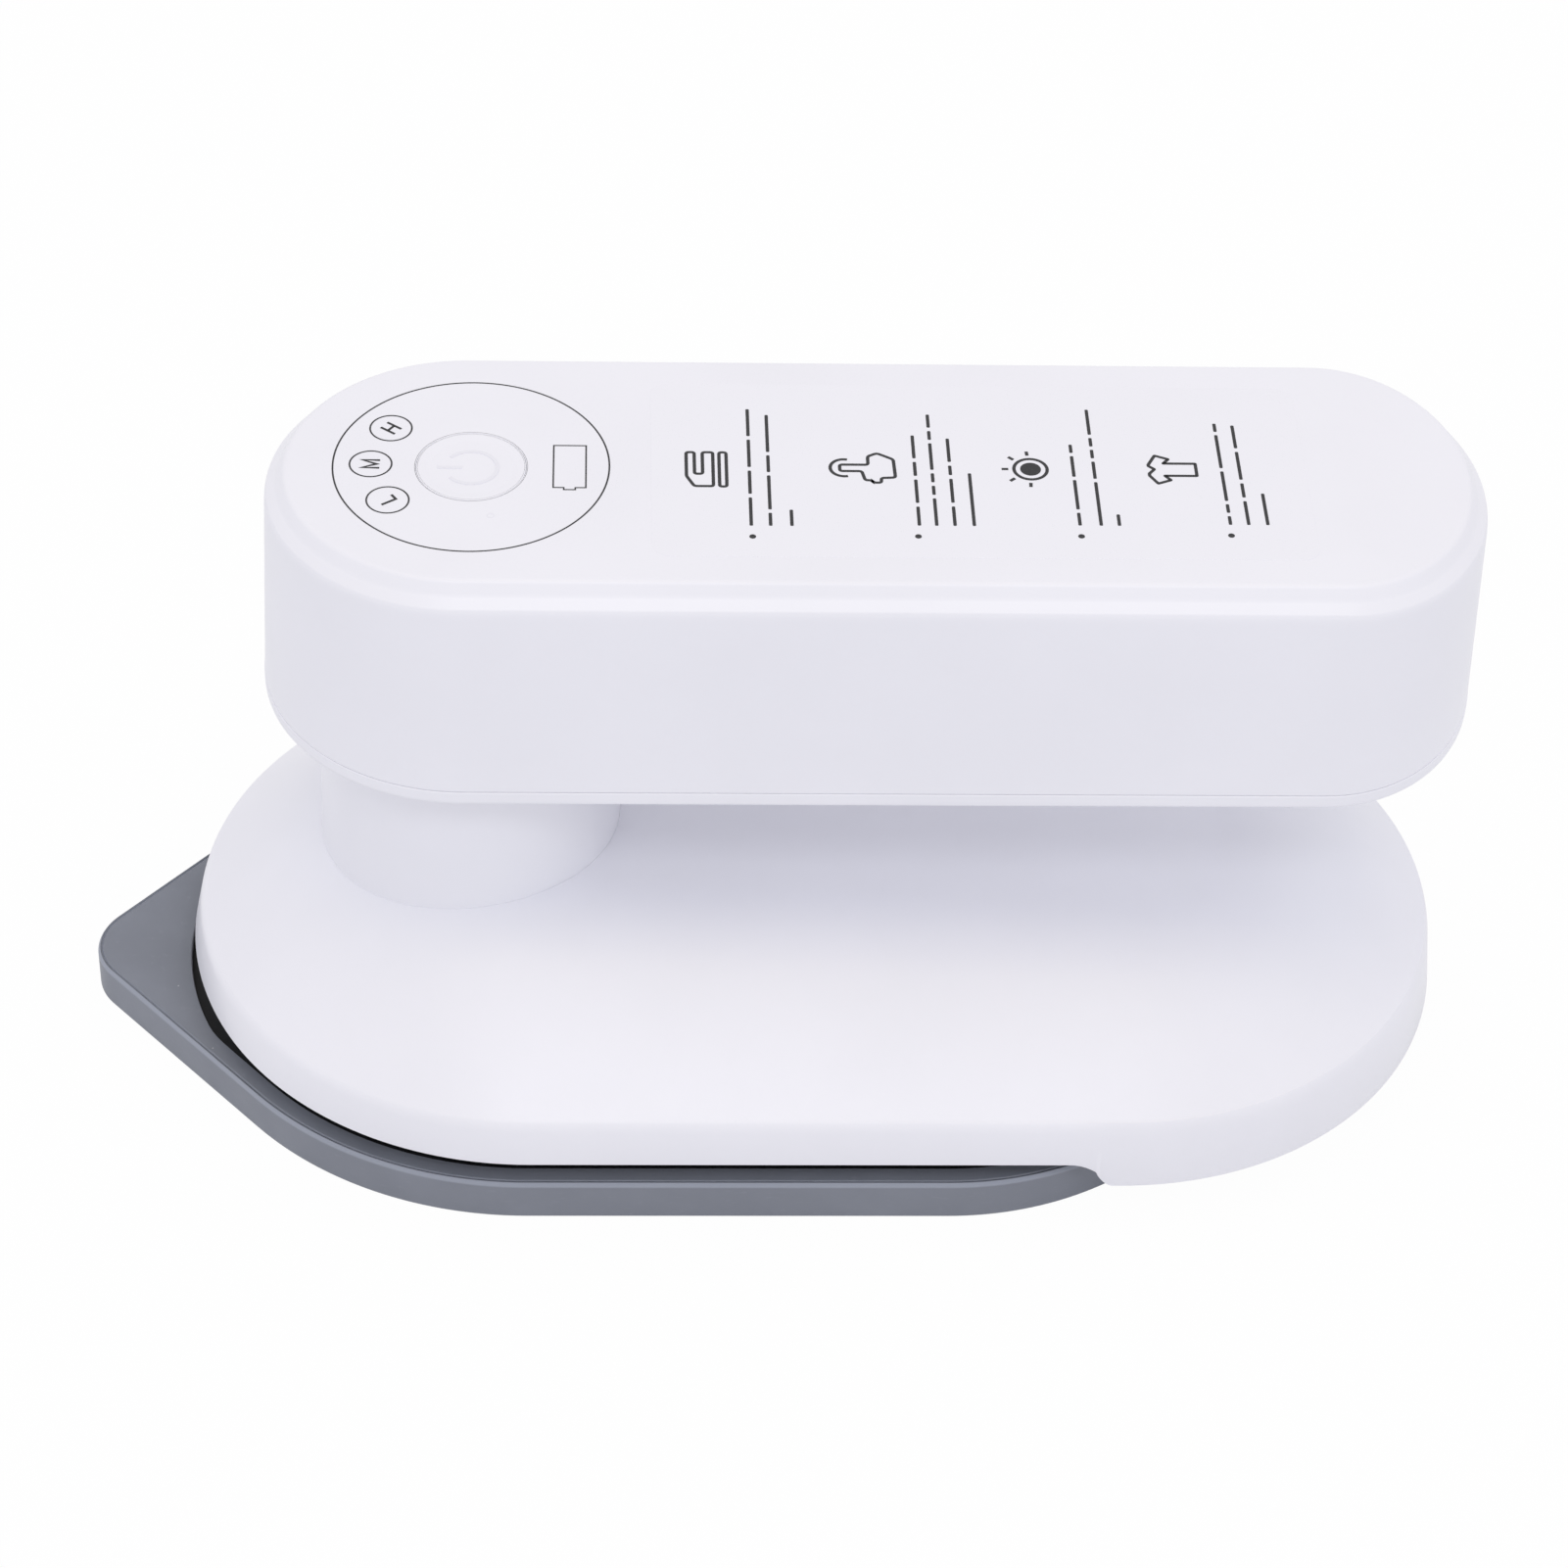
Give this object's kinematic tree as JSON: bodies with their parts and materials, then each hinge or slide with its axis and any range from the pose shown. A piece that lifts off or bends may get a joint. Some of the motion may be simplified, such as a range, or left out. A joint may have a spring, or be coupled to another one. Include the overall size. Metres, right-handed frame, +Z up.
{
  "type": "steam iron",
  "caption": "Cordless handheld mini iron: straight swivelling handle with a top power button on a round column, white domed base, resting in a grey silicone heat pad",
  "frame": {"origin": "the point on the table under the handle's swivel axis, on the heat pad's flat underside", "axes": "+X from the nose towards the heel, +Y across the iron, +Z up along the swivel axis"},
  "size_m": [0.1528, 0.077, 0.0743],
  "materials": {
    "white_plastic": "satin moulded plastic",
    "grey_silicone": "matt silicone rubber",
    "cast_aluminium": "machined and coated aluminium",
    "black_nylon": "glass-filled nylon",
    "natural_acetal": "natural acetal",
    "spring_steel": "spring steel",
    "plated_steel": "zinc-plated steel",
    "mica": "mica sheet with printed track",
    "fibre_blanket": "ceramic fibre sheet",
    "green_board": "solder-masked circuit board",
    "cell_wrap": "shrink-wrapped round cell",
    "nickel": "nickel strip",
    "clear_film": "clear printed film",
    "lamp_epoxy": "light-emitting diode body",
    "black_epoxy": "moulded component body",
    "wire_sleeve": "glass-fibre sleeving",
    "red_wire": "silicone wire insulation",
    "black_wire": "silicone wire insulation"
  },
  "bodies": {
    "pad": {"heat_pad": "grey_silicone"},
    "base": {"base_frame": "black_nylon", "base_shell": "white_plastic", "cutout_lead": "red_wire", "heater_clamp_plate": "cast_aluminium", "heating_element": "mica", "heel_plate": "black_nylon", "heel_screw_left": "plated_steel", "heel_screw_right": "plated_steel", "insulation_blanket": "fibre_blanket", "sensor_lead": "black_wire", "shell_screw_left_front": "plated_steel", "shell_screw_left_rear": "plated_steel", "shell_screw_right_front": "plated_steel", "shell_screw_right_rear": "plated_steel", "slip_washer": "natural_acetal", "sole_screw_left_front": "plated_steel", "sole_screw_left_rear": "plated_steel", "sole_screw_right_front": "plated_steel", "sole_screw_right_rear": "plated_steel", "soleplate": "cast_aluminium", "spring_washer": "spring_steel", "swivel_seat": "natural_acetal", "temperature_sensor": "black_epoxy", "terminal_block": "natural_acetal", "thermal_cutout": "plated_steel"},
    "handle": {"handle_shell": "white_plastic", "handle_cover": "white_plastic", "panel_film": "clear_film", "column": "white_plastic", "column_screw_left": "plated_steel", "column_screw_right": "plated_steel", "handle_screw_left": "plated_steel", "handle_screw_right": "plated_steel", "control_board": "green_board", "button_switch": "black_epoxy", "light_mask": "black_nylon", "level_light_high": "lamp_epoxy", "level_light_medium": "lamp_epoxy", "level_light_low": "lamp_epoxy", "charge_light": "lamp_epoxy", "status_light": "lamp_epoxy", "battery_cradle": "black_nylon", "battery_cell_left": "cell_wrap", "battery_cell_right": "cell_wrap", "contact_strip_front": "nickel", "contact_strip_rear": "nickel", "power_board": "green_board", "driver_chip": "black_epoxy", "filter_coil": "black_epoxy", "ribbon_cable": "wire_sleeve", "charge_board": "green_board", "charge_socket": "plated_steel", "charge_socket_tongue": "black_nylon", "heater_cable": "wire_sleeve"},
    "button": {"power_button": "white_plastic"}
  },
  "joints": [
    {"name": "iron_lift", "type": "slide", "parent": "pad", "child": "base", "axis": [0, 0, 1], "range_m": [0, 0.03], "deforming": ["heat_pad"]},
    {"name": "handle_swivel", "type": "hinge", "parent": "base", "child": "handle", "pos_m": [0, 0, 0.0175], "axis": [0, 0, 1], "range_deg": [-90, 90]},
    {"name": "button_press", "type": "slide", "parent": "handle", "child": "button", "axis": [0, 0, -1], "range_m": [0, 0.0008], "stiffness_N_per_m": 1500, "springref_m": -0.0003}
  ]
}
